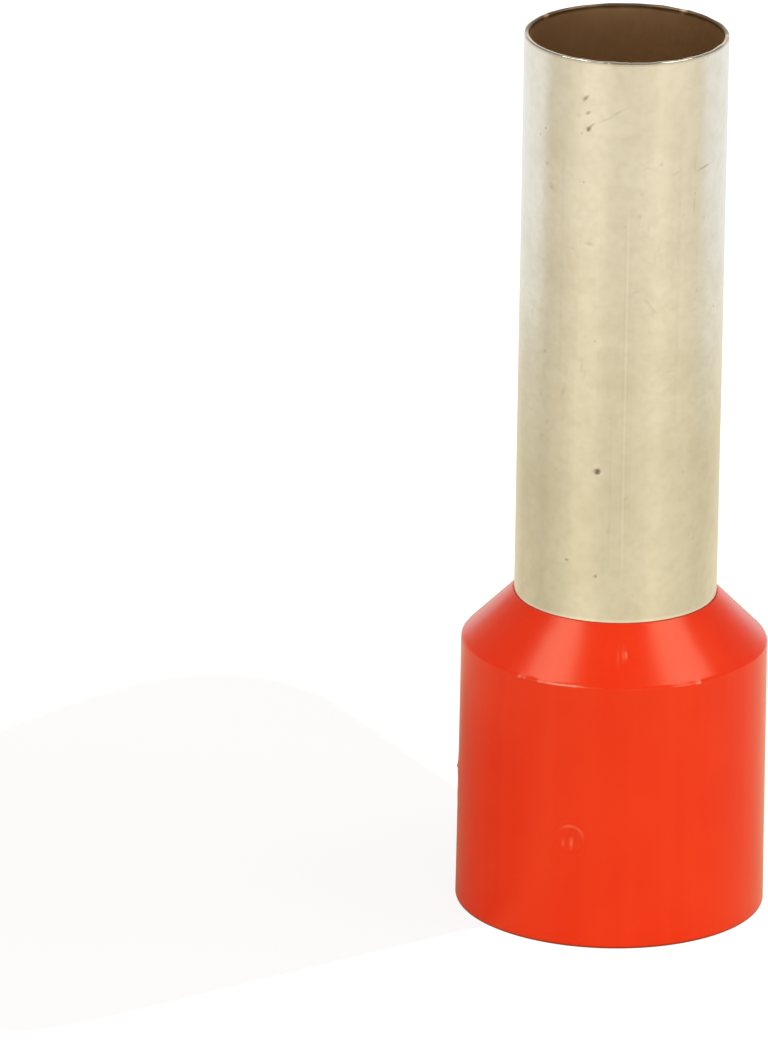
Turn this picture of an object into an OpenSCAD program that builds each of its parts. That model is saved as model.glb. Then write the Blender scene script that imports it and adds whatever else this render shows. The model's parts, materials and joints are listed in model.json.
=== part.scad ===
// Insulated wire ferrule: a drawn, tin-plated copper tube with a trumpet
// flare, pushed up into a moulded collar until the flare seats on its cone.
// It stands on the collar's mouth. Z runs up the axis from the middle of the
// mouth to the tip of the tube. Sizes are in millimetres.

/* [Crimp tube] */
// Bore that takes the bare strands
bore_d = 8.3; // [6:0.1:10]
// Wall of the drawn tube
tube_wall = 0.2; // [0.15:0.05:0.4]
// Length of bare tube beyond the collar
bare_len = 25; // [12:0.5:40]
// Rounding of the tube's cut edges
cut_edge_r = 0.08; // [0.02:0.01:0.09]
// How far the flare spreads beyond the outside of the tube
flare_w = 0.9; // [0.4:0.05:1.4]
// Slope of the flare, from the axis, in degrees
flare_angle = 40; // [25:1:50]
// Radius of the bend between the tube and its flare, on the outside
flare_bend_r = 1; // [0.4:0.1:1.5]

/* [Insulating collar] */
// Length of the collar
collar_len = 14; // [12:0.5:20]
// Wall of the collar at its mouth
collar_wall = 0.6; // [0.4:0.05:1.2]
// Length of the neck that grips the tube
neck_len = 2.55; // [1.5:0.05:4]
// Width of the ledge that the seat leaves round the flare's cut edge
seat_ledge_w = 0.08; // [0.02:0.02:0.3]
// Width of the funnel from that ledge out to the straight entry
funnel_w = 0.72; // [0.4:0.04:1.4]
// Slope of the funnel, from the axis, in degrees
funnel_angle = 20; // [15:1:40]
// Soft corner where the straight entry turns into the funnel
funnel_corner_r = 0.3; // [0.1:0.05:0.5]
// Slope of the shoulder, from the axis, in degrees
shoulder_angle = 45; // [35:1:55]
// Flat lip round the tube at the top of the shoulder
lip_w = 0.07; // [0.05:0.01:0.3]
// Rounding of the edge between the skirt and the shoulder
crease_r = 0.25; // [0.05:0.05:0.8]
// Moulding draft of the skirt, in degrees
skirt_draft = 0.35; // [0:0.05:1]
// Rounding of the mouth's outer edge
rim_edge_r = 0.1; // [0.02:0.02:0.2]
// Bevel of the mouth's inner edge
rim_bevel = 0.12; // [0.02:0.02:0.2]

/* [Gate marks] */
// Width of a gate mark in the skirt
gate_d = 1.05; // [0.6:0.05:1.6]
// Depth of a gate mark at its upper edge, where it is deepest
gate_depth = 0.18; // [0.05:0.01:0.3]
// Width of the stub left in the middle of a gate mark
stub_d = 0.28; // [0.1:0.02:0.4]
// How far the stub stays below the skirt
stub_sink = 0.03; // [0.01:0.01:0.05]
// Turn of the front gate mark from the front, towards the left, in degrees
front_gate_turn = 15; // [0:1:40]
// Height of the front gate mark above the mouth
front_gate_z = 4.9; // [2:0.1:8]
// Turn of the side gate mark from the front, towards the left, in degrees
side_gate_turn = 88; // [60:1:120]
// Height of the side gate mark above the mouth
side_gate_z = 5.3; // [2:0.1:8]

/* [Fit] */
// Clearance between the tube and the collar that holds it
seat_gap = 0.01; // [0:0.01:0.05]

/* [Hidden] */
// Facets of the round bodies in a preview
$fn = 144;
// Turn of one step round a rounded corner
arc_step = 12;
// Overshoot of a cutter past the face that it opens
overcut = 1;

tube_in_r = bore_d/2;
tube_out_r = tube_in_r + tube_wall;
tip_z = collar_len + bare_len;
// Height where the tube stops being straight and starts to bend outwards
bend_z = collar_len - neck_len;
// Direction along the flare, down and out, and the way out of its outer face
flare_run = [sin(flare_angle), -cos(flare_angle)];
flare_normal = [cos(flare_angle), sin(flare_angle)];

neck_r = tube_out_r + seat_gap;
seat_r = tube_out_r + flare_w + seat_ledge_w;
entry_r = seat_r + funnel_w;
mouth_r = entry_r + collar_wall;
lip_r = neck_r + lip_w;
// Height of the crease, where the drafted skirt meets the shoulder's cone
crease_z = (collar_len - (mouth_r - lip_r)/tan(shoulder_angle))
         / (1 - tan(skirt_draft)/tan(shoulder_angle));

function unit(v) = v/norm(v);

// Point on the sloping face that leaves the bend, at radius r: the face
// touches the arc of radius bend_r, and straight_r is the wall above it
function slope_point(straight_r, bend_r, r) =
    let (corner = [straight_r, bend_z - bend_r*tan(flare_angle/2)])
    corner + flare_run*(r - straight_r)/sin(flare_angle);

// Skirt's outer radius at a height above the mouth
function skirt_r(z) = mouth_r - z*tan(skirt_draft);

// Arc that rounds the corner b between a and c with radius r
function corner_arc(a, b, c, r) =
    let (
        to_a = unit(a - b),
        to_c = unit(c - b),
        half = acos(to_a*to_c)/2,
        middle = b + unit(to_a + to_c)*r/sin(half),
        from = b + to_a*r/tan(half) - middle,
        to = b + to_c*r/tan(half) - middle,
        start = atan2(from[1], from[0]),
        turn = cross(from, to) > 0 ? 180 - 2*half : 2*half - 180,
        steps = ceil(abs(turn)/arc_step)
    )
    [for (i = [0 : steps]) middle + r*[cos(start + turn*i/steps), sin(start + turn*i/steps)]];

// Closed outline from corners [x, z, rounding], with a rounding of 0 left sharp
function rounded(corners) =
    let (count = len(corners))
    [
        for (i = [0 : count - 1])
        let (
            a = corners[(i + count - 1) % count],
            b = corners[i],
            c = corners[(i + 1) % count]
        )
        each b[2] == 0
            ? [[b[0], b[1]]]
            : corner_arc([a[0], a[1]], [b[0], b[1]], [c[0], c[1]], b[2])
    ];

module crimp_tube() {
    out_bend = slope_point(tube_out_r, flare_bend_r, tube_out_r);
    in_bend = slope_point(tube_in_r, flare_bend_r + tube_wall, tube_in_r);
    out_end = slope_point(tube_out_r, flare_bend_r, tube_out_r + flare_w);
    in_end = out_end - flare_normal*tube_wall;
    color([0.87, 0.83, 0.72])
    rotate_extrude()
    polygon(rounded([
        [tube_in_r, tip_z, cut_edge_r],
        [tube_out_r, tip_z, cut_edge_r],
        [out_bend[0], out_bend[1], flare_bend_r],
        [out_end[0], out_end[1], cut_edge_r],
        [in_end[0], in_end[1], cut_edge_r],
        [in_bend[0], in_bend[1], flare_bend_r + tube_wall],
    ]));
}

// Collar before the gate marks. The nose is the rounded edge that the tube's
// bend goes round, and the seat is the cone that its flare rests against.
module collar_body() {
    nose_r = flare_bend_r - seat_gap;
    nose = slope_point(neck_r, nose_r, neck_r);
    seat = slope_point(neck_r, nose_r, seat_r);
    funnel_z = seat[1] - funnel_w/tan(funnel_angle);
    rotate_extrude()
    polygon(rounded([
        [entry_r + rim_bevel, 0, 0],
        [mouth_r, 0, rim_edge_r],
        [skirt_r(crease_z), crease_z, crease_r],
        [lip_r, collar_len, 0],
        [neck_r, collar_len, 0],
        [nose[0], nose[1], nose_r],
        [seat[0], seat[1], 0],
        [entry_r, funnel_z, funnel_corner_r],
        [entry_r, rim_bevel, 0],
    ]));
}

// What a gate leaves out of the skirt: a round pocket whose floor slopes up
// to the skirt at its lower edge, with a broken stub standing in it
module gate_pocket(turn, z) {
    slope = atan(gate_depth/gate_d);
    rotate(-turn)
    translate([0, -skirt_r(z), z])
    rotate([90 - slope, 0, 0])
    difference() {
        translate([0, 0, -gate_depth/2])
        cylinder(h = gate_depth/2 + overcut, d = gate_d);
        translate([0, 0, -gate_depth])
        cylinder(h = gate_depth - stub_sink, d = stub_d);
    }
}

module insulating_collar() {
    color([0.93, 0.20, 0.10])
    difference() {
        collar_body();
        gate_pocket(front_gate_turn, front_gate_z);
        gate_pocket(side_gate_turn, side_gate_z);
    }
}

crimp_tube();
insulating_collar();
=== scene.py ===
# Looks of a red insulated wire ferrule: the tin-plated crimp tube and the moulded collar round
# its flared end. Lengths are in metres. A turn is an angle about the upright axis, in radians,
# from the front of the ferrule (-Y) towards its right (+X).
import json
import math

import bpy
import numpy as np
from mathutils import Matrix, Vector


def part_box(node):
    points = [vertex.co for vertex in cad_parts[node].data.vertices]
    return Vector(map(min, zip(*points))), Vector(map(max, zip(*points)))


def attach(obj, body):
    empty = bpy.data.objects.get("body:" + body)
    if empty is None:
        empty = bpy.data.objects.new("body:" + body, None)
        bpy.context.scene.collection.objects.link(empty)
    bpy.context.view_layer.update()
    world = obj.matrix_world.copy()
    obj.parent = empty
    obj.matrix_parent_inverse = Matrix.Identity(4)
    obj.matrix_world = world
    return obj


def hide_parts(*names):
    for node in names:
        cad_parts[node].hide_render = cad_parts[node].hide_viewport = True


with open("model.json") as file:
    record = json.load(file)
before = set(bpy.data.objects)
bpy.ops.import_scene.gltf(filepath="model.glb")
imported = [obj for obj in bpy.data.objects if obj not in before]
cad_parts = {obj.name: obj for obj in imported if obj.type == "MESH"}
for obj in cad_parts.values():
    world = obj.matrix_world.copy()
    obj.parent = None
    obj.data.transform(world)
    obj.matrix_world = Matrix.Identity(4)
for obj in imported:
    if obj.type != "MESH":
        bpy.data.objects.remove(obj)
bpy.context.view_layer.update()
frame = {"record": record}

MM = 0.001
DEGREE = math.pi / 180

mounts = {mount["name"]: mount["dims"] for mount in frame["record"]["mounts"]}
tube_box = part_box("crimp_tube")
collar_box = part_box("insulating_collar")

# ---------------------------------------------------------------- sizes

TUBE_IN_R = mounts["strand_bore"]["r_mm"] * MM
TUBE_OUT_R = mounts["crimp_barrel"]["r_mm"] * MM
TUBE_WALL = TUBE_OUT_R - TUBE_IN_R
TIP_Z = tube_box[1].z
COLLAR_TOP_Z = collar_box[1].z
MOUTH_R = collar_box[1].x
ENTRY_R = mounts["insulation_entry"]["r_mm"] * MM

NECK_LEN = 2.55 * MM
BEND_Z = COLLAR_TOP_Z - NECK_LEN
FLARE_SLOPE = 40 * DEGREE
FLARE_WIDTH = 0.9 * MM
FLARE_BEND_R = 1 * MM
TUBE_EDGE_R = 0.08 * MM

SEAT_GAP = 0.01 * MM
NECK_R = TUBE_OUT_R + SEAT_GAP
LEDGE = 0.08 * MM
FUNNEL_SLOPE = 20 * DEGREE
FUNNEL_CORNER_R = 0.3 * MM
LIP = 0.07 * MM
LIP_R = NECK_R + LIP
SHOULDER_SLOPE = 45 * DEGREE
DRAFT = 0.35 * DEGREE
CREASE_R = 0.25 * MM
CREASE_Z = ((COLLAR_TOP_Z - (MOUTH_R - LIP_R) / math.tan(SHOULDER_SLOPE))
            / (1 - math.tan(DRAFT) / math.tan(SHOULDER_SLOPE)))
RIM_EDGE_R = 0.12 * MM
RIM_BEVEL = 0.12 * MM
# Rounding of the edges that a sharp tool leaves in the moulding
TOOL_EDGE_R = 0.03 * MM

GATE_D = 1.05 * MM
STUB_D = 0.28 * MM
STUB_SINK = 0.03 * MM
# Turn, height and greatest depth of the gate marks
GATES = ((-15 * DEGREE, 4.93 * MM, 0.10 * MM), (-88 * DEGREE, 5.3 * MM, 0.18 * MM))


# ---------------------------------------------------------------- turned surfaces

def unit(vectors):
    """Each row divided by its own length."""
    return vectors / np.linalg.norm(vectors, axis=-1, keepdims=True)


def hump(x):
    """Bell of height 1 at 0: exp(-x squared)."""
    return np.exp(-x * x)


def ease(x):
    """0 below 0, 1 above 1, and 3x^2 - 2x^3 between."""
    x = np.clip(x, 0, 1)
    return x * x * (3 - 2 * x)


# Places at which a spacing is summed
SPACING_SAMPLES = 4001


def spaced(length, step_at):
    """Distances from 0 to length, spaced so that the running sum of 1 / step_at(distance) grows
    by the same amount, at most 1, from each to the next. Both ends are included."""
    fine = np.linspace(0, length, SPACING_SAMPLES)
    rate = 1 / step_at(fine)
    run = np.concatenate(([0], np.cumsum((rate[1:] + rate[:-1]) / 2 * np.diff(fine))))
    count = max(math.ceil(run[-1]), 1)
    return np.interp(np.linspace(0, run[-1], count + 1), run, fine)


# Greatest turn of one step round a rounded corner
ARC_STEP = 11 * DEGREE
# Row spacing beside a rounded corner, and its growth with the distance from there
GUARD_STEP = 0.02 * MM
GUARD_GROWTH = 1.2


def wall_outline(corners, row_step):
    """Closed outline round a wall, anticlockwise in (radius, height), from corners (radius,
    height, rounding). A corner becomes the arc that touches both of its sides: its middle lies
    on the bisector, rounding / sin(half the corner's angle) away. Along a side the rows lie
    row_step(radius, height) apart, and closer where an arc begins, so that the shading of a
    flat side stays flat. Returns the rows' points and their outward normals."""
    corners = np.asarray(corners, float)
    spot, rounding = corners[:, :2], corners[:, 2:]
    to_before = unit(np.roll(spot, 1, axis=0) - spot)
    to_after = unit(np.roll(spot, -1, axis=0) - spot)
    half = np.arccos((to_before * to_after).sum(1, keepdims=True)) / 2
    middle = spot + unit(to_before + to_after) * rounding / np.sin(half)
    arc_start = spot + to_before * rounding / np.tan(half)
    arc_end = spot + to_after * rounding / np.tan(half)
    outer = np.sign(to_before[:, 1] * to_after[:, 0] - to_before[:, 0] * to_after[:, 1])
    points, normals = [], []
    for k in range(len(corners)):
        sweep = outer[k] * (math.pi - 2 * half[k, 0])
        steps = max(3, math.ceil(abs(sweep) / ARC_STEP))
        first = math.atan2(*(arc_start[k] - middle[k])[::-1])
        angle = first + sweep * np.linspace(0, 1, steps + 1)
        out = np.stack((np.cos(angle), np.sin(angle)), axis=1)
        points.append(middle[k] + rounding[k] * out)
        normals.append(outer[k] * out)
        side = arc_start[(k + 1) % len(corners)] - arc_end[k]
        length = np.linalg.norm(side)
        along = side / length

        def step_at(s, start=arc_end[k], along=along, length=length):
            place = start + s[:, None] * along
            near_end = np.minimum(s, length - s)
            guard = GUARD_STEP + GUARD_GROWTH * near_end
            return np.minimum(row_step(place[:, 0], place[:, 1]), guard)

        s = spaced(length, step_at)[1:-1, None]
        points.append(arc_end[k] + s * along)
        normals.append(np.broadcast_to((along[1], -along[0]), (len(s), 2)))
    return np.concatenate(points), np.concatenate(normals)


def turned_piece(name, outline, turns, relief, stains_and_shading):
    """Piece turned about the upright axis. The point at turn t on row k is row k's (radius,
    height) moved by relief(t, height, facing) along the row's outward normal, where facing is
    that normal's radial part, and stands at x = radius sin t, y = -radius cos t, z = height.
    Every point joins its neighbours both ways round, so the skin is closed.
    The last function gives, for (t, height, facing), the shares from 0 to 1 of marks, painted
    shade and painted highlight that the material reads from the mesh by name."""
    points, normals = outline
    radius, height = points[:, :1], points[:, 1:]
    turn = turns[None, :]
    facing, rising = normals[:, :1], normals[:, 1:]
    shift = relief(turn, height, facing)
    shares = stains_and_shading(turn, height, facing)
    radius, height = radius + facing * shift, height + rising * shift
    place = np.stack((radius * np.sin(turn), -radius * np.cos(turn), height), axis=-1)
    rows, columns = shift.shape
    index = np.arange(rows * columns).reshape(rows, columns)
    right, above = np.roll(index, -1, axis=1), np.roll(index, -1, axis=0)
    corners = np.stack((index, right, np.roll(above, -1, axis=1), above), axis=-1)

    mesh = bpy.data.meshes.new(name)
    mesh.vertices.add(index.size)
    mesh.vertices.foreach_set("co", place.astype(np.float32).ravel())
    mesh.loops.add(corners.size)
    mesh.loops.foreach_set("vertex_index", corners.astype(np.int32).ravel())
    mesh.polygons.add(index.size)
    mesh.polygons.foreach_set("loop_start", np.arange(0, corners.size, 4, dtype=np.int32))
    mesh.polygons.foreach_set("use_smooth", np.ones(index.size, bool))
    mesh.update(calc_edges=True)
    mesh.validate()
    for share, values in shares.items():
        mesh.attributes.new(share, "FLOAT", "POINT").data.foreach_set(
            "value", np.broadcast_to(values, index.shape).astype(np.float32).ravel())
    piece = bpy.data.objects.new(name, mesh)
    bpy.context.scene.collection.objects.link(piece)
    return piece


def waves(turn, height, seed, turns_round, rises, count):
    """Smooth random relief, mostly between -1 and 1: the sum of count cosines, over 1.5 times
    its spread, which is the root of count / 2. Each has a whole number of periods round the
    axis, up to turns_round, and up to rises periods in a millimetre of height."""
    draw = np.random.default_rng(seed)
    total = np.zeros(np.broadcast(turn, height).shape)
    for _ in range(count):
        total += np.cos(draw.integers(1, turns_round + 1) * turn
                        + draw.uniform(-rises, rises) * 2 * math.pi * height / MM
                        + draw.uniform(0, 2 * math.pi))
    return total * math.sqrt(2 / count) / 1.5


def nick(turn, height, at_turn, at_height, long, wide, tilt):
    """Dent of an edge that slid over the wall, at a turn and a height: a bell, long by wide,
    turned by tilt from the level. Returns the dent, and the burr 1.6 widths above it."""
    across = (turn - at_turn * DEGREE) * TUBE_OUT_R / MM
    up = height / MM - at_height
    along = across * math.cos(tilt * DEGREE) + up * math.sin(tilt * DEGREE)
    aside = up * math.cos(tilt * DEGREE) - across * math.sin(tilt * DEGREE)
    bell = hump(along / long)
    return bell * hump(aside / wide), bell * hump((aside - 1.6 * wide) / wide)


# ---------------------------------------------------------------- crimp tube

# nicks: turn in degrees, height, half length and half width in mm, tilt in degrees, depth in
# mm, and share of darkening
NICKS = (
    (-22.8, 37.33, 0.16, 0.050, 44, 0.035, 0.60),
    (-21.2, 36.70, 0.10, 0.045, 28, 0.028, 0.45),
    (-20.7, 35.99, 0.09, 0.065, 35, 0.045, 0.75),
    (-19.0, 36.14, 0.18, 0.035, 38, 0.020, 0.45),
    (-11.5, 20.80, 0.13, 0.095, 8, 0.070, 1.00),
    (-11.3, 16.07, 0.07, 0.055, 0, 0.035, 0.60),
    (-29.2, 16.62, 0.07, 0.050, 20, 0.028, 0.50),
    (51.0, 33.98, 0.32, 0.040, 9, 0.016, 0.45),
)
# scuffs, which are only a little darker: the same without a depth
SCUFFS = (
    (-10.6, 36.49, 0.26, 0.040, 22, 0.20), (-4.8, 36.79, 0.22, 0.035, 30, 0.20),
    (0.4, 37.00, 0.20, 0.035, 24, 0.10), (-27.0, 36.52, 0.06, 0.060, 0, 0.16),
    (-48.4, 34.06, 0.08, 0.070, 0, 0.34), (-44.4, 33.10, 0.14, 0.075, -40, 0.30),
    (-38.1, 35.18, 0.20, 0.080, -35, 0.10), (-46.0, 37.18, 0.16, 0.080, 60, 0.12),
    (21.3, 34.50, 0.07, 0.060, 20, 0.28), (12.3, 34.34, 0.14, 0.040, 25, 0.16),
    (30.7, 34.01, 0.20, 0.045, 22, 0.20), (43.6, 34.28, 0.30, 0.035, 85, 0.16),
    (-18.8, 30.93, 0.16, 0.065, 0, 0.28), (9.4, 32.23, 0.07, 0.070, 0, 0.22),
    (10.1, 33.19, 0.06, 0.060, 0, 0.16), (14.4, 31.73, 0.18, 0.040, 88, 0.12),
    (33.3, 32.57, 0.06, 0.055, 0, 0.16), (35.9, 32.08, 0.07, 0.055, 40, 0.16),
    (28.5, 31.98, 0.09, 0.045, 70, 0.14), (43.4, 32.38, 0.35, 0.040, 88, 0.16),
    (18.1, 30.40, 0.32, 0.035, 90, 0.14), (20.3, 30.68, 0.20, 0.035, 84, 0.10),
    (8.4, 28.88, 0.12, 0.045, 10, 0.12), (47.0, 28.58, 0.08, 0.070, 60, 0.34),
    (14.4, 28.42, 0.15, 0.035, -45, 0.20), (16.6, 28.19, 0.20, 0.035, -44, 0.24),
    (18.7, 27.97, 0.16, 0.035, -46, 0.22), (17.4, 27.84, 0.10, 0.035, -50, 0.14),
    (-47.3, 25.73, 0.07, 0.060, 0, 0.40), (-34.7, 26.89, 0.10, 0.050, 30, 0.12),
    (-33.2, 24.17, 0.24, 0.080, 72, 0.24), (-21.9, 25.48, 0.30, 0.035, 88, 0.16),
    (-20.0, 25.09, 0.18, 0.035, 80, 0.12), (36.9, 25.48, 0.26, 0.035, 90, 0.12),
    (28.0, 25.19, 0.24, 0.035, 5, 0.12), (28.6, 24.88, 0.20, 0.035, 3, 0.10),
    (-44.4, 22.61, 0.10, 0.050, 80, 0.20), (-48.9, 21.91, 0.08, 0.060, 20, 0.26),
    (74.3, 23.26, 0.07, 0.060, 0, 0.30), (61.8, 30.80, 0.30, 0.045, 65, 0.12),
    (4.6, 19.61, 0.10, 0.070, 30, 0.16), (-5.0, 18.11, 0.07, 0.060, 0, 0.24),
    (8.6, 17.61, 0.14, 0.040, 20, 0.12), (48.5, 17.43, 0.07, 0.060, 0, 0.22),
    (88.0, 31.00, 0.20, 0.060, 30, 0.20), (-84.0, 27.00, 0.16, 0.060, 15, 0.20),
    (120.0, 24.00, 0.14, 0.080, -20, 0.26), (150.0, 33.00, 0.30, 0.060, 35, 0.22),
    (-130.0, 31.50, 0.24, 0.060, -30, 0.22), (-160.0, 21.00, 0.12, 0.090, 10, 0.30),
)
# lines along the draw: turn in degrees, from and to which height in mm, half width in mm, depth
# in mm, share of painted shade and of painted highlight
DRAW_LINES = (
    (3.2, 15.2, 33.5, 0.042, -0.0018, 0.0, 0.34),
    (1.9, 15.4, 32.5, 0.042, 0.0008, 0.045, 0.0),
    (4.5, 16.5, 32.0, 0.042, 0.0008, 0.040, 0.0),
    (6.6, 17.0, 29.0, 0.042, 0.0005, 0.030, 0.0),
    (-4.2, 15.5, 24.5, 0.040, 0.0012, 0.06, 0.0),
    (17.0, 15.0, 24.0, 0.040, -0.0012, 0.0, 0.16),
    (-13.5, 22.0, 35.0, 0.040, -0.0012, 0.0, 0.10),
    (33.0, 22.0, 37.0, 0.040, 0.0012, 0.08, 0.0),
    (-36.0, 24.0, 36.0, 0.040, 0.0012, 0.08, 0.0),
    (110.0, 15.0, 34.0, 0.060, 0.0020, 0.12, 0.0),
    (-145.0, 16.0, 37.0, 0.060, 0.0020, 0.10, 0.0),
)


def draw_line(turn, height, at, low, high, wide):
    """Fine line along the draw: a bell across, faded over 2 mm at each end."""
    span = ease((height - low * MM) / (2 * MM)) * ease((high * MM - height) / (2 * MM))
    return span * hump((turn - at * DEGREE) * TUBE_OUT_R / (wide * MM))


def tube_relief(turn, height, facing):
    """Sum of the tube's faint out-of-roundness, the lines that the drawing die left along it,
    its nicks, and the uneven burr at its cut tip. Only the outer wall carries the marks."""
    outside = ease(2 * facing)
    skin = 0.004 * MM * waves(turn, height, seed=3, turns_round=5, rises=0.03, count=9)
    skin = skin + 0.0009 * MM * waves(
        turn, height, seed=5, turns_round=40, rises=0.25, count=24)
    for *line, depth, _, _ in DRAW_LINES:
        skin = skin - depth * MM * draw_line(turn, height, *line)
    for *shape, depth, _ in NICKS:
        dent, lip = nick(turn, height, *shape)
        skin = skin + depth * MM * (0.3 * lip - dent)
    tip = ease((height - TIP_Z + 0.35 * MM) / (0.35 * MM))
    burr = 0.010 * MM * tip * waves(turn, height, seed=11, turns_round=24, rises=0, count=30)
    chips = 0.006 * MM * tip * waves(turn, height, seed=12, turns_round=120, rises=0, count=40)
    chipped = waves(turn, height, seed=13, turns_round=9, rises=0, count=9) > 0.2
    burr = burr + chips * chipped
    # the bare wall stays clear of the collar's neck
    bare = ease((height - COLLAR_TOP_Z) / (0.6 * MM))
    return outside * bare * skin + burr


def tube_stains_and_shading(turn, height, facing):
    """Shares of the tube's skin: inward is the hollow's own wall; darker marks lie in the nicks
    and the scuffs, with painted shade in and beside the lines along the draw; cut is the cut
    edge at the tip; painted shade lies on the back half of that edge, less a few specks; and
    painted highlight lies on the raised lines along the draw and in a ring just above the
    collar."""
    edge = ease((height - TIP_Z + 0.16 * MM) / (0.05 * MM))
    cut = edge * ease(1.2 + facing)
    specks = waves(turn, height, seed=14, turns_round=90, rises=0, count=40) > 1.0
    # painted shade on the back half of the cut edge, less a few specks
    brown = edge * ease((np.abs(turn) - 75 * DEGREE) / (25 * DEGREE)) * ~specks
    inward = ease(0.4 - 1.5 * facing)
    dirt = sum(share * nick(turn, height, *shape)[0] for *shape, _, share in NICKS)
    dirt = dirt + sum(share * nick(turn, height, *shape)[0] for *shape, share in SCUFFS)
    # painted highlight: a ring just above the collar
    bright = hump((height - COLLAR_TOP_Z - 0.06 * MM) / (0.07 * MM))
    # each line along the draw adds painted shade where it is sunk and painted highlight where
    # it stands out
    for *line, _, line_shade, line_highlight in DRAW_LINES:
        trace = draw_line(turn, height, *line)
        dirt, bright = dirt + line_shade * trace, bright + line_highlight * trace
    outside = ease(2 * facing)
    return {"inward": inward, "dirt": np.clip(dirt, 0, 1) * outside, "cut": cut,
            "brown": brown, "bright": np.clip(bright, 0, 1) * outside}


# heights in mm between which the rows of the tube's outer wall lie closest: at its nicks, at
# its tip and beside the collar
CLOSE_ROWS = ((35.8, 37.6), (20.55, 21.05), (15.85, 16.75), (33.85, 34.15), (38.5, 39.0),
              (13.9, 14.3))
# row spacing there, on the rest of the bare wall, and in the bore and the collar
CLOSE_STEP, BARE_STEP, HIDDEN_STEP = 0.045 * MM, 0.085 * MM, 0.9 * MM
# turns in degrees between which the tube's columns stand closer, and their spacing: at the
# front, across the nicks there, and at the long line
CLOSE_COLUMNS = ((-60, 60, 1.0), (-26, 8, 0.5), (1.2, 5.6, 0.3))


def tube_rows(radius, height):
    """Row spacing of the tube: wide in the bore and in the collar, close on the bare wall, and
    closest in CLOSE_ROWS."""
    outside = radius > (TUBE_IN_R + TUBE_OUT_R) / 2
    step = np.where(outside & (height > COLLAR_TOP_Z), BARE_STEP, HIDDEN_STEP)
    for low, high in CLOSE_ROWS:
        close = outside & (height > low * MM) & (height < high * MM)
        step = np.where(close, CLOSE_STEP, step)
    return step


def tube_columns(turn):
    """Column spacing of the tube: wide, and closer in CLOSE_COLUMNS."""
    step = np.full_like(turn, 3.5 * DEGREE)
    for low, high, close in CLOSE_COLUMNS:
        step = np.where((turn > low * DEGREE) & (turn < high * DEGREE), close * DEGREE, step)
    return step


def slope_point(wall_r, bend_r, radius):
    """Point at a radius on the flare's face that leaves the bend below a wall of radius wall_r:
    the face meets the wall's line bend_r * tan(slope / 2) below the height of the bend, and
    falls 1 / tan(slope) for each step out."""
    meet = BEND_Z - bend_r * math.tan(FLARE_SLOPE / 2)
    return np.array((radius, meet - (radius - wall_r) / math.tan(FLARE_SLOPE)))


def columns(step_at):
    """Turns of the grid's upright lines, from the back round to the back, step_at(turn) apart.
    The last one is left out, because the grid closes there on its first."""
    return spaced(2 * math.pi, lambda s: step_at(s - math.pi))[:-1] - math.pi


out_corner = slope_point(TUBE_OUT_R, FLARE_BEND_R, TUBE_OUT_R)
in_corner = slope_point(TUBE_IN_R, FLARE_BEND_R + TUBE_WALL, TUBE_IN_R)
out_end = slope_point(TUBE_OUT_R, FLARE_BEND_R, TUBE_OUT_R + FLARE_WIDTH)
in_end = out_end - TUBE_WALL * np.array((math.cos(FLARE_SLOPE), math.sin(FLARE_SLOPE)))

tube_outline = wall_outline((
    (TUBE_OUT_R, TIP_Z, TUBE_EDGE_R),
    (TUBE_IN_R, TIP_Z, TUBE_EDGE_R),
    (*in_corner, FLARE_BEND_R + TUBE_WALL),
    (*in_end, TUBE_EDGE_R),
    (*out_end, TUBE_EDGE_R),
    (*out_corner, FLARE_BEND_R),
), tube_rows)
tube = turned_piece("drawn_tube", tube_outline, columns(tube_columns), tube_relief, tube_stains_and_shading)


# ---------------------------------------------------------------- insulating collar

# stretches of the parting ridge along the crease: turn and half width in degrees, height in mm
CREASE_FLASH = ((-20.0, 9.0, 0.060), (26.5, 6.5, 0.024), (75.0, 14.0, 0.015),
                (-120.0, 20.0, 0.025), (160.0, 16.0, 0.020))
# beads that the mould's parting edge left there: turn in degrees, size in mm
CREASE_BEADS = ((-37.7, 0.040), (-35.6, 0.025), (-28.4, 0.040), (-14.4, 0.015),
                (33.4, 0.080), (112.0, 0.040), (-150.0, 0.045))
# the ridge gets painted highlight where it stands out by more than this many mm, and by how
# much of a share for each mm more
FLASH_HIGHLIGHT_FROM, FLASH_HIGHLIGHT_RATE = 0.008, 22
# strokes on the shoulder: turn in degrees, height, half width and half height in mm, and by how
# much they stand out
SHOULDER_STROKES = ((1.9, 12.87, 0.05, 0.22, 0.024), (3.2, 12.93, 0.05, 0.18, -0.040),
                    (4.5, 12.94, 0.06, 0.15, 0.060), (6.4, 12.99, 0.05, 0.14, -0.025))
# radius of the shoulder there in mm, and share of lighter red for each mm that a stroke stands
# out
STROKE_RADIUS = 5.4
STROKE_PALE = 12
# ridges where the feed broke off: how far right of a gate mark's middle and above it, half
# width and half height in mm, strength
BREAK_RIDGES = ((0.05, -0.20, 0.07, 0.22, 1.0), (-0.31, -0.26, 0.06, 0.14, 0.6))
# stretches of the lip round a gate mark: bearing from its top and half width in radians,
# strength
LIP_STRETCHES = ((-0.10, 0.55, 1.0), (0.90, 0.5, 0.7))


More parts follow.
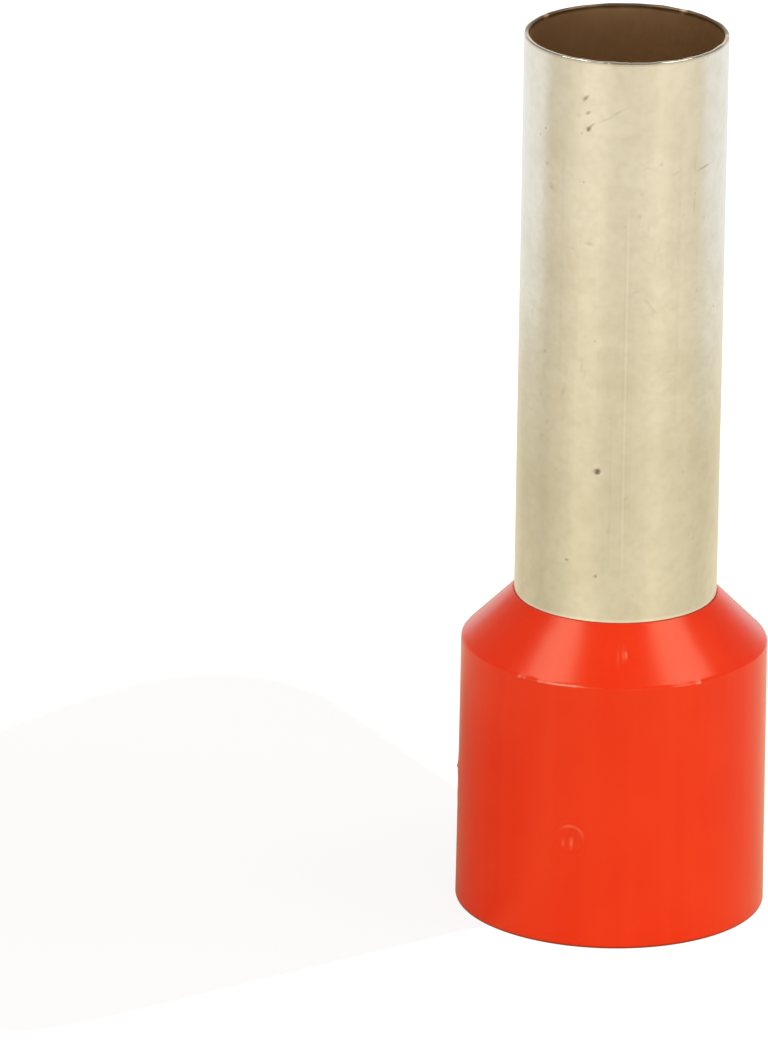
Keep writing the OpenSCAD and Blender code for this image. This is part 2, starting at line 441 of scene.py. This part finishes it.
def gate_mark(turn, height, at_turn, at_height, depth):
    """Round pocket where the plastic's feed broke off. Inside its circle the floor lies depth
    deep at the upper edge and rises evenly to the skirt at the lower edge, less the skirt's own
    fall to the sides, and the stub stands in its middle. A thin lip is drawn up along the
    pocket's upper edge, most of all on its right, and faint rings of flow run round it.
    Returns the relief and the share of painted highlight on the lip and the stub's ridges."""
    across = (turn - at_turn) * MOUTH_R
    up = height - at_height
    far = np.hypot(across, up)
    inside = ease((GATE_D / 2 - far) / (0.06 * MM) + 0.5)
    floor = depth * np.clip((up + GATE_D / 2) / GATE_D, 0, 1) - across**2 / (2 * MOUTH_R)
    floor = np.maximum(floor, 0)
    stub = ease((STUB_D / 2 - far) / (0.08 * MM) + 0.5)
    ridges = sum(
        strength * hump((across - x * MM) / (wide * MM)) * hump((up - z * MM) / (tall * MM))
        for x, z, wide, tall, strength in BREAK_RIDGES)
    floor = floor + (np.minimum(floor, STUB_SINK) - floor) * stub - 0.015 * MM * ridges
    rings = 0.010 * MM * np.cos(far / (0.20 * MM) * 2 * math.pi) * hump(
        (far - 0.80 * MM) / (0.30 * MM)) * (1 - inside)
    bearing = np.arctan2(across, up)
    lip = hump((far - GATE_D / 2 - 0.02 * MM) / (0.07 * MM)) * sum(
        strength * hump((bearing - at) / wide) for at, wide, strength in LIP_STRETCHES)
    # the second value is painted highlight on the lip and on the stub's ridges
    return (0.06 * MM * lip + rings - inside * floor,
            np.clip(0.9 * lip + 0.8 * ridges * inside, 0, 1))


def collar_marks(turn, height):
    """Relief of the collar's outer skin, the share of it painted lighter, as painted highlight
    on the gate marks' lips and ridges and as lighter red where the strokes on the shoulder
    stand out, and the share of painted highlight on the thin ridge that the mould's parting
    edge left along the crease, a bell across with beads on it."""
    skin, pale = 0, 0
    for gate in GATES:
        mark, gate_highlight = gate_mark(turn, height, *gate)
        skin, pale = skin + mark, pale + gate_highlight
    level = CREASE_Z - 0.03 * MM + 0.02 * MM * waves(
        turn, height, seed=25, turns_round=24, rises=0, count=18)
    tall = 0.003 + 0.004 * waves(turn, height, seed=26, turns_round=40, rises=0, count=30)
    for at, wide, size in CREASE_FLASH:
        tall = tall + size * hump((turn - at * DEGREE) / (wide * DEGREE))
    ridge = np.maximum(tall, 0) * hump((height - level) / (0.04 * MM))
    for at, size in CREASE_BEADS:
        far = np.hypot((turn - at * DEGREE) * MOUTH_R, height - level)
        ridge = ridge + size * hump(far / (0.07 * MM))
    skin = skin + ridge * MM
    for at, up, wide, long, size in SHOULDER_STROKES:
        across = (turn - at * DEGREE) * STROKE_RADIUS
        stroke = hump(across / wide) * hump((height / MM - up) / long)
        skin, pale = skin + size * MM * stroke, pale + STROKE_PALE * max(size, 0) * stroke
    # the last share is painted highlight on the crease's ridge
    return skin, np.clip(pale, 0, 1), np.clip(FLASH_HIGHLIGHT_RATE * (ridge - FLASH_HIGHLIGHT_FROM), 0, 1)


def collar_relief(turn, height, facing):
    """Sum of the skirt's faint waviness and the collar's marks, on its outer wall only."""
    skin = 0.008 * MM * waves(turn, height, seed=21, turns_round=6, rises=0.05, count=8)
    skin = skin + 0.0012 * MM * waves(
        turn, height, seed=22, turns_round=30, rises=0.4, count=24)
    skin = skin + collar_marks(turn, height)[0]
    # the rim stays level, and the lip stays where it is
    free = ease((height - 0.3 * MM) / (0.6 * MM)) * ease((COLLAR_TOP_Z - height) / (0.3 * MM))
    return ease(2 * facing) * free * skin


def collar_stains_and_shading(turn, height, facing):
    """Shares of the collar's skin: painted shade along the bottom edge of the rim, where it
    stands on the table, and the shares of painted highlight and lighter red that collar_marks
    gives, on the outer wall only."""
    _, pale, flash = collar_marks(turn, height)
    outside = ease(2 * facing)
    # painted shade along the bottom edge of the rim, where it stands on the table
    return {"foot": ease((0.15 * MM - height) / (0.08 * MM)), "pale": pale * outside,
            "flash": flash * outside}


# heights between which the gate marks lie, and the middle and half height of the strokes' band
GATE_LOW, GATE_HIGH = 4.25 * MM, 5.9 * MM
STROKE_Z, STROKE_REACH = 12.96 * MM, 0.16 * MM
# row spacing on the crease, across the other marks, and on the collar's outside and inside
CREASE_STEP, MARK_STEP, OUTER_STEP, INNER_STEP = 0.025 * MM, 0.03 * MM, 0.4 * MM, 0.6 * MM
# column spacing across the front and the side gate mark, for this far to either side
GATE_COLUMNS = (0.25 * DEGREE, 0.4 * DEGREE)
GATE_REACH = 5.5 * DEGREE


def collar_rows(radius, height):
    """Row spacing round the collar's wall: close across the gate marks, on the crease and at
    the strokes on the shoulder, wide elsewhere."""
    outside = radius > TUBE_OUT_R + 0.5 * (height > BEND_Z) * LIP
    skirt = radius > (ENTRY_R + MOUTH_R) / 2
    step = np.where(skirt | (height > CREASE_Z), OUTER_STEP, INNER_STEP)
    gate = skirt & (height > GATE_LOW) & (height < GATE_HIGH)
    crease = outside & (np.abs(height - CREASE_Z) < CREASE_R) & skirt
    strokes = outside & (np.abs(height - STROKE_Z) < STROKE_REACH) & (radius > 5 * MM)
    step = np.where(gate | strokes, MARK_STEP, step)
    return np.where(crease, CREASE_STEP, step)


def collar_columns(turn):
    """Column spacing of the collar: close across the gate marks."""
    step = np.full_like(turn, 1.1 * DEGREE)
    for (at_turn, *_), close in zip(GATES, GATE_COLUMNS):
        step = np.where(np.abs(turn - at_turn) < GATE_REACH, close, step)
    return step


nose_r = FLARE_BEND_R - SEAT_GAP
nose = slope_point(NECK_R, nose_r, NECK_R)
SEAT_R = TUBE_OUT_R + FLARE_WIDTH + LEDGE
seat = slope_point(NECK_R, nose_r, SEAT_R)
funnel_z = seat[1] - (ENTRY_R - SEAT_R) / math.tan(FUNNEL_SLOPE)
collar_outline = wall_outline((
    (MOUTH_R, 0, RIM_EDGE_R),
    (MOUTH_R - CREASE_Z * math.tan(DRAFT), CREASE_Z, CREASE_R),
    (LIP_R, COLLAR_TOP_Z, TOOL_EDGE_R / 2),
    (NECK_R, COLLAR_TOP_Z, TOOL_EDGE_R / 2),
    (*nose, nose_r),
    (*seat, TOOL_EDGE_R),
    (ENTRY_R, funnel_z, FUNNEL_CORNER_R),
    (ENTRY_R, RIM_BEVEL, TOOL_EDGE_R),
    (ENTRY_R + RIM_BEVEL, 0, TOOL_EDGE_R),
), collar_rows)
collar = turned_piece("moulded_collar", collar_outline, columns(collar_columns), collar_relief,
                      collar_stains_and_shading)


# ---------------------------------------------------------------- shader maths

class Value:
    """A shader socket that can be added, subtracted and multiplied: each operation adds a Math
    node and gives its result."""

    def __init__(self, graph, socket):
        self.graph, self.socket = graph, socket

    def math(self, operation, other):
        """This value and another through a Math node."""
        return self.graph.node("Math", {"operation": operation}, {0: self, 1: other})

    def __add__(self, other):
        return self.math("ADD", other)

    def __sub__(self, other):
        return self.math("SUBTRACT", other)

    def __rsub__(self, other):
        return self.graph.node("Math", {"operation": "SUBTRACT"}, {0: other, 1: self})

    def __mul__(self, other):
        return self.math("MULTIPLY", other)

    __radd__ = __add__
    __rmul__ = __mul__

    def within(self, low, high):
        """0 at low, 1 at high, eased and held beyond them."""
        return self.graph.node("MapRange", {"interpolation_type": "SMOOTHSTEP"}, {
            "Value": self, "From Min": low, "From Max": high})


class Graph:
    """The node tree of a material or of the world."""

    def __init__(self, owner):
        owner.use_nodes = True
        self.tree = owner.node_tree
        self.tree.nodes.clear()

    def node(self, kind, settings=None, values=None, output=0):
        """Adds a node of a kind, sets its settings, of which a ramp's stops are (place, colour)
        pairs, then fills its sockets by name or number with numbers, colours or other values.
        Returns the output named or numbered."""
        made = self.tree.nodes.new("ShaderNode" + kind)
        for name, setting in (settings or {}).items():
            if name == "stops":
                elements = made.color_ramp.elements
                made.color_ramp.interpolation = "EASE"
                while len(elements) < len(setting):
                    elements.new(1)
                for element, (place, colour) in zip(elements, setting):
                    element.position, element.color = place, colour
            else:
                setattr(made, name, setting)
        for name, value in (values or {}).items():
            if isinstance(value, Value):
                self.tree.links.new(value.socket, made.inputs[name])
            else:
                made.inputs[name].default_value = value
        return Value(self, made.outputs[output]) if len(made.outputs) else made

    def noise(self, place, scale, detail, roughness=0.5):
        """Cloudy value between about 0 and 1, with scale patches in a metre."""
        return self.node("TexNoise", {}, {
            "Vector": place, "Scale": scale, "Detail": detail, "Roughness": roughness})

    def share(self, name):
        """A share that the mesh carries for each of its points."""
        return self.node("Attribute", {"attribute_name": name}, output="Fac")

    def colours(self, share, first, second, blend="MIX"):
        """First colour where share is 0 and, where it is 1, the second or its blend with it."""
        return self.node("Mix", {"data_type": "RGBA", "blend_type": blend},
                         {0: share, 6: first, 7: second}, output=2)

    def stretched(self, place, *scale):
        """The place with each of its axes multiplied."""
        return self.node("VectorMath", {"operation": "MULTIPLY"}, {0: place, 1: scale})


# Base colours of the tin: its two clouds, its mottle, dapple and streaks, what marks it, and
# the painted shade, highlight and warm reflection on it
TIN_DULL = (0.740, 0.707, 0.607, 1)
TIN_CLEAN = (0.800, 0.773, 0.680, 1)
TIN_MOTTLE = (0.68, 0.64, 0.53, 1)
TIN_DAPPLE = (0.86, 0.83, 0.74, 1)
TIN_STREAK = (0.85, 0.82, 0.73, 1)
PIT_SHADE = (0.36, 0.33, 0.27, 1)
MARK_AND_SHADE_DARK = (0.14, 0.12, 0.09, 1)
CUT_METAL = (0.50, 0.47, 0.41, 1)
TIN_HIGHLIGHT = (1.0, 0.97, 0.90, 1)
BORE_WARM_REFLECTION = (0.90, 0.69, 0.455, 1)
BACK_EDGE_SHADE_DARK = (0.16, 0.10, 0.05, 1)


def tin_plate():
    """Dull bright tin on drawn copper: cloudy, streaked along the draw, peppered with fine
    pits, darker in its nicks and scuffs, with painted shade and painted highlight on the lines
    along the draw and a painted highlight ring just above the collar, a painted warm reflection
    inside the upper bore, and painted shade on the back of its cut edge."""
    material = bpy.data.materials.new("tin_plate")
    graph = Graph(material)
    place = graph.node("TexCoord", output="Object")
    inward = graph.share("inward")
    dirt = graph.share("dirt")
    cut = graph.share("cut")
    bright = graph.share("bright")
    height = graph.node("SeparateXYZ", {}, {0: place}, output="Z")
    clouds = graph.noise(place, 420, 3)
    mottle = graph.noise(place, 2600, 1)
    dapple = graph.noise(place, 1200, 2)
    streaks = graph.noise(graph.stretched(place, 1, 1, 0.02), 1900, 3, roughness=0.55)
    wander = graph.node("TexNoise", {}, {"Vector": place, "Scale": 3000, "Detail": 1},
                        output="Color")
    bent = graph.node("VectorMath", {"operation": "MULTIPLY_ADD"}, {
        0: wander, 1: (0.0004,) * 3, 2: place})
    pits = graph.node("TexVoronoi", {"feature": "F1"}, {"Vector": bent, "Scale": 1500},
                      output="Distance")
    rare = graph.noise(place, 900, 2).within(0.52, 0.66)
    pit = (1 - pits.within(0.03, 0.13)) * rare
    colour = graph.colours(clouds.within(0.3, 0.7), TIN_DULL, TIN_CLEAN)
    colour = graph.colours(mottle.within(0.35, 0.75) * 0.35, colour, TIN_MOTTLE)
    colour = graph.colours(dapple.within(0.35, 0.70) * 0.25, colour, TIN_DAPPLE)
    colour = graph.colours(streaks.within(0.5, 0.75) * 0.2, colour, TIN_STREAK)
    colour = graph.colours(pit * 0.25, colour, PIT_SHADE)
    # darker marks in the nicks and the scuffs, and painted shade along the sunk draw lines
    colour = graph.colours(dirt * 0.9, colour, MARK_AND_SHADE_DARK)
    colour = graph.colours(cut * 0.5, colour, CUT_METAL)
    # painted highlight on the raised draw lines and in a ring just above the collar
    colour = graph.colours(bright * 0.7, colour, TIN_HIGHLIGHT)
    # painted warm reflection inside the bore, strongest in its upper part
    hollow = inward * (0.35 + height.within(20 * MM, 30 * MM) * 0.6)
    colour = graph.colours(hollow, colour, BORE_WARM_REFLECTION)
    # painted shade on the back half of the cut edge
    colour = graph.colours(graph.share("brown") * 0.9, colour, BACK_EDGE_SHADE_DARK)
    rough = 0.15 + clouds * 0.05 + mottle * 0.05 + pit * 0.2 + dirt * 0.3 + inward * 0.14
    relief = mottle * 0.8 + dapple * 1.6 + streaks * 0.08 - pit
    bump = graph.node("Bump", {}, {"Strength": 0.35, "Distance": 0.02 * MM, "Height": relief})
    shader = graph.node("BsdfPrincipled", {}, {
        "Base Color": colour, "Metallic": 1.0, "Roughness": rough, "Normal": bump})
    graph.node("OutputMaterial", {}, {"Surface": shader})
    return material


# Base colours of the plastic: its clouds, deep and light, its streaks, what marks it, painted
# highlight on its marks and painted shade along its bottom edge
RED_DEEP = (0.86, 0.025, 0.0025, 1)
RED_LIGHT = (0.90, 0.034, 0.0040, 1)
RED_STREAK = (0.92, 0.042, 0.0060, 1)
PALE_AND_HIGHLIGHT = (1.0, 0.17, 0.085, 1)
FLASH_HIGHLIGHT = (1.0, 0.34, 0.22, 1)
FOOT_SHADE = (0.20, 0.020, 0.008, 1)


def red_plastic():
    """Satin-gloss orange-red moulded plastic: a little cloudy, faintly streaked by the mould
    that it was drawn from, with painted highlight on the gate marks and on the crease's ridge,
    lighter red on the raised strokes, and painted shade along the bottom edge of its rim."""
    material = bpy.data.materials.new("red_plastic")
    graph = Graph(material)
    place = graph.node("TexCoord", output="Object")
    clouds = graph.noise(place, 260, 2)
    drag = graph.noise(graph.stretched(place, 1, 1, 0.04), 900, 2)
    skin = graph.noise(place, 1200, 1)
    colour = graph.colours(clouds.within(0.2, 0.8), RED_DEEP, RED_LIGHT)
    colour = graph.colours(drag.within(0.3, 0.8) * 0.4, colour, RED_STREAK)
    # painted highlight on the gate marks, and lighter red on the raised strokes
    colour = graph.colours(graph.share("pale") * 0.9, colour, PALE_AND_HIGHLIGHT)
    # painted highlight on the crease's ridge
    colour = graph.colours(graph.share("flash") * 0.9, colour, FLASH_HIGHLIGHT)
    # painted shade along the bottom edge of the rim
    colour = graph.colours(graph.share("foot") * 0.8, colour, FOOT_SHADE)
    rough = 0.17 + clouds * 0.04 + drag * 0.05
    relief = skin + drag * 0.8
    bump = graph.node("Bump", {}, {"Strength": 0.25, "Distance": 0.02 * MM, "Height": relief})
    shader = graph.node("BsdfPrincipled", {}, {
        "Base Color": colour, "Roughness": rough, "Normal": bump, "IOR": 1.5,
        "Specular IOR Level": 0.40, "Specular Tint": (1.0, 0.8, 0.5, 1)})
    graph.node("OutputMaterial", {}, {"Surface": shader})
    return material


tube.data.materials.append(tin_plate())
collar.data.materials.append(red_plastic())

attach(tube, "root")
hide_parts("crimp_tube")
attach(collar, "root")
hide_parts("insulating_collar")

# ---------------------------------------------------------------- table, light and camera

TABLE_HALF = 1.5
# Brightness of the paper round the ferrule as the metal mirrors it: turn in degrees, brightness
PAPER_LIGHT = (
    (-180, 0.84), (-150, 0.85), (-128, 0.75), (-112, 0.765), (-92, 0.71), (-72, 0.785),
    (-56, 0.87), (-46, 0.985), (-30, 0.995), (-12, 0.875), (8, 0.875), (24, 0.915),
    (40, 1.005), (58, 0.915), (84, 0.86), (96, 0.80), (112, 0.80), (130, 0.87),
    (150, 0.91), (180, 0.84),
)
# Its colour there, warmed by the collar's own light close to it: distance in mm, colour
PAPER_COLOUR = (
    (8, (0.98, 0.76, 0.48)), (40, (1.01, 0.908, 0.672)), (60, (0.955, 0.862, 0.634)),
    (104, (1.105, 1.008, 0.83)),
)
PAPER_REACH = 110 * MM
# Both are kept below 1 in the ramps, and their product is brought back up
PEAK = 1.12
# Brightness of the sheet where it sweeps up, as the metal mirrors it
SWEEP_LIGHT = 0.99
# How much of the ferrule's shadow the camera's white paper covers up
SHADOW_COVER = 0.88
WHITE = (1, 1, 1, 1)
CREAM_PAPER = (0.92, 0.86, 0.72, 1)
WHITE_PAPER = (0.92, 0.92, 0.92, 1)


def table_top():
    """Pale table: a flat square of side 2 * TABLE_HALF at the height of the rim. The camera
    sees white paper with the ferrule's faint shadow. Metal mirrors it cream near the ferrule,
    dimmer beside its left, and whiter towards the back, where the sheet sweeps up into the
    light. From below it is clear."""
    corner = TABLE_HALF * np.array(((-1, -1, 0), (1, -1, 0), (1, 1, 0), (-1, 1, 0)), float)
    mesh = bpy.data.meshes.new("table_top")
    mesh.from_pydata(corner.tolist(), [], [(0, 1, 2, 3)])
    piece = bpy.data.objects.new("table_top", mesh)
    bpy.context.scene.collection.objects.link(piece)
    material = bpy.data.materials.new("table_paper")
    graph = Graph(material)
    seen = graph.node("LightPath", output="Is Camera Ray")
    mirrored = graph.node("LightPath", output="Is Glossy Ray").math(
        "MAXIMUM", graph.node("LightPath", output="Is Transmission Ray"))
    place = graph.node("TexCoord", output="Object")
    across = graph.node("SeparateXYZ", {}, {0: place}, output="X")
    back = graph.node("SeparateXYZ", {}, {0: place}, output="Y")
    away = graph.node("VectorMath", {"operation": "LENGTH"}, {0: place}, output="Value")
    turn = across.math("ARCTAN2", back * -1)
    light = graph.node("ValToRGB", {"stops": [
        (at / 360 + 0.5, (*(level / PEAK,) * 3, 1)) for at, level in PAPER_LIGHT]},
        {0: turn * (0.5 / math.pi) + 0.5})
    paper = graph.node("ValToRGB", {"stops": [
        (at * MM / PAPER_REACH, (*(channel / PEAK for channel in colour), 1))
        for at, colour in PAPER_COLOUR]}, {0: away * (1 / PAPER_REACH)})
    sweep = away.within(65 * MM, 102 * MM) * back.within(-10 * MM, 44 * MM)
    # painted shade on the paper that the metal mirrors, beside the ferrule's left
    dim = turn.within(-160 * DEGREE, -140 * DEGREE)
    dim = dim * (1 - turn.within(-60 * DEGREE, -48 * DEGREE))
    dim = dim * (1 - away.within(26 * MM, 38 * MM))
    # painted shade on the mirrored paper close to the rim and beside the ferrule's left
    foot = (away.within(MOUTH_R, MOUTH_R * 1.2) * 0.1 + 0.9) * (1 - dim * 0.5)
    mirror = graph.colours(1.0, light, paper, "MULTIPLY")
    mirror = graph.colours(sweep, mirror, (*(SWEEP_LIGHT / PEAK**2,) * 3, 1))
    lit = graph.node("BsdfDiffuse", {}, {
        "Color": graph.colours(sweep, CREAM_PAPER, WHITE_PAPER)})
    glow = graph.node("Emission", {}, {
        "Color": graph.colours(seen, mirror, WHITE),
        "Strength": seen.math("MAXIMUM", foot * PEAK**2)})
    keep = (seen * SHADOW_COVER).math("MAXIMUM", mirrored)
    mixed = graph.node("MixShader", {}, {0: keep, 1: lit, 2: glow})
    under = graph.node("NewGeometry", output="Backfacing")
    clear = graph.node("BsdfTransparent")
    whole = graph.node("MixShader", {}, {0: under, 1: mixed, 2: clear})
    graph.node("OutputMaterial", {}, {"Surface": whole})
    mesh.materials.append(material)
    return piece


table_top()

# The camera sees the air white. The ferrule mirrors it cream low down, grey overhead and white
# straight behind. The rest of its light is even
AIR_LOW = (0.85, 0.76, 0.62, 1)
AIR_OVERHEAD = (0.33, 0.31, 0.27, 1)
AIR_LIGHT = (0.52, 0.52, 0.52, 1)

world = bpy.data.worlds.new("studio")
bpy.context.scene.world = world
air = Graph(world)
way = air.node("TexCoord", output="Generated")
rise = air.node("SeparateXYZ", {}, {0: way}, output="Z")
behind = air.node("SeparateXYZ", {}, {0: way}, output="Y")
mirrored_sky = air.colours(rise.within(0.02, 0.45), AIR_LOW, AIR_OVERHEAD)
mirrored_sky = air.colours(behind.within(0.84, 0.93), mirrored_sky, WHITE)
mirroring = air.node("LightPath", output="Is Glossy Ray").math(
    "MAXIMUM", air.node("LightPath", output="Is Transmission Ray"))
sky = air.colours(mirroring, AIR_LIGHT, mirrored_sky)
sky = air.colours(air.node("LightPath", output="Is Camera Ray"), sky, WHITE)
air.node("OutputWorld", {}, {"Surface": air.node("Background", {}, {"Color": sky})})


def softbox(name, turn, rise, away, wide, tall, glow, mirrored=True):
    """Lamp wide by tall, away from the ferrule at a turn and a rise, facing it. Its power is
    glow, which is how bright its face looks, times pi and its area. If it isn't mirrored, it
    only lights."""
    lamp = bpy.data.lights.new(name, "AREA")
    lamp.shape, lamp.size, lamp.size_y = "RECTANGLE", wide, tall
    lamp.energy = glow * math.pi * wide * tall
    holder = bpy.data.objects.new(name, lamp)
    out = np.array((math.sin(turn) * math.cos(rise), -math.cos(turn) * math.cos(rise),
                    math.sin(rise)))
    side = np.array((math.cos(turn), math.sin(turn), 0.0))
    axes = np.stack((side, np.cross(out, side), out), axis=1)
    aim = np.array((0, 0, TIP_Z / 2))
    matrix = Matrix.Identity(4)
    for row in range(3):
        matrix[row][:3] = axes[row]
        matrix[row][3] = (aim + away * out)[row]
    holder.matrix_world = matrix
    holder.visible_camera = False
    holder.visible_glossy = mirrored
    bpy.context.scene.collection.objects.link(holder)


softbox("softbox_left", turn=-74 * DEGREE, rise=57 * DEGREE, away=0.5, wide=0.27, tall=0.13,
        glow=4.9)
softbox("softbox_right", turn=79 * DEGREE, rise=55 * DEGREE, away=0.5, wide=0.29, tall=0.15,
        glow=4.3)
softbox("front_fill", turn=20 * DEGREE, rise=9 * DEGREE, away=0.9, wide=0.5, tall=0.3,
        glow=4.5, mirrored=False)

# The camera stands in front and above, turned so that the ferrule stands to the right
CAMERA_AT = (0, -0.570634, 0.217097)
CAMERA_TURN = -1.001 * DEGREE
CAMERA_DROP = 19.344 * DEGREE
CAMERA_ROLL = 0.873 * DEGREE
CAMERA_LENS = 484.74

ahead = np.array((math.sin(CAMERA_TURN) * math.cos(CAMERA_DROP),
                  math.cos(CAMERA_TURN) * math.cos(CAMERA_DROP), -math.sin(CAMERA_DROP)))
level = np.array((math.cos(CAMERA_TURN), -math.sin(CAMERA_TURN), 0))
upright = np.cross(level, ahead)
right = math.cos(CAMERA_ROLL) * level + math.sin(CAMERA_ROLL) * upright
up = math.cos(CAMERA_ROLL) * upright - math.sin(CAMERA_ROLL) * level
camera_data = bpy.data.cameras.new("camera")
camera_data.lens = CAMERA_LENS
camera_data.sensor_width = 36
camera_data.clip_start, camera_data.clip_end = 0.01, 10
camera = bpy.data.objects.new("camera", camera_data)
camera.matrix_world = Matrix([[right[k], up[k], -ahead[k], CAMERA_AT[k]] for k in range(3)]
                             + [[0, 0, 0, 1]])
bpy.context.scene.collection.objects.link(camera)
bpy.context.scene.camera = camera
bpy.context.scene.view_settings.view_transform = "Standard"
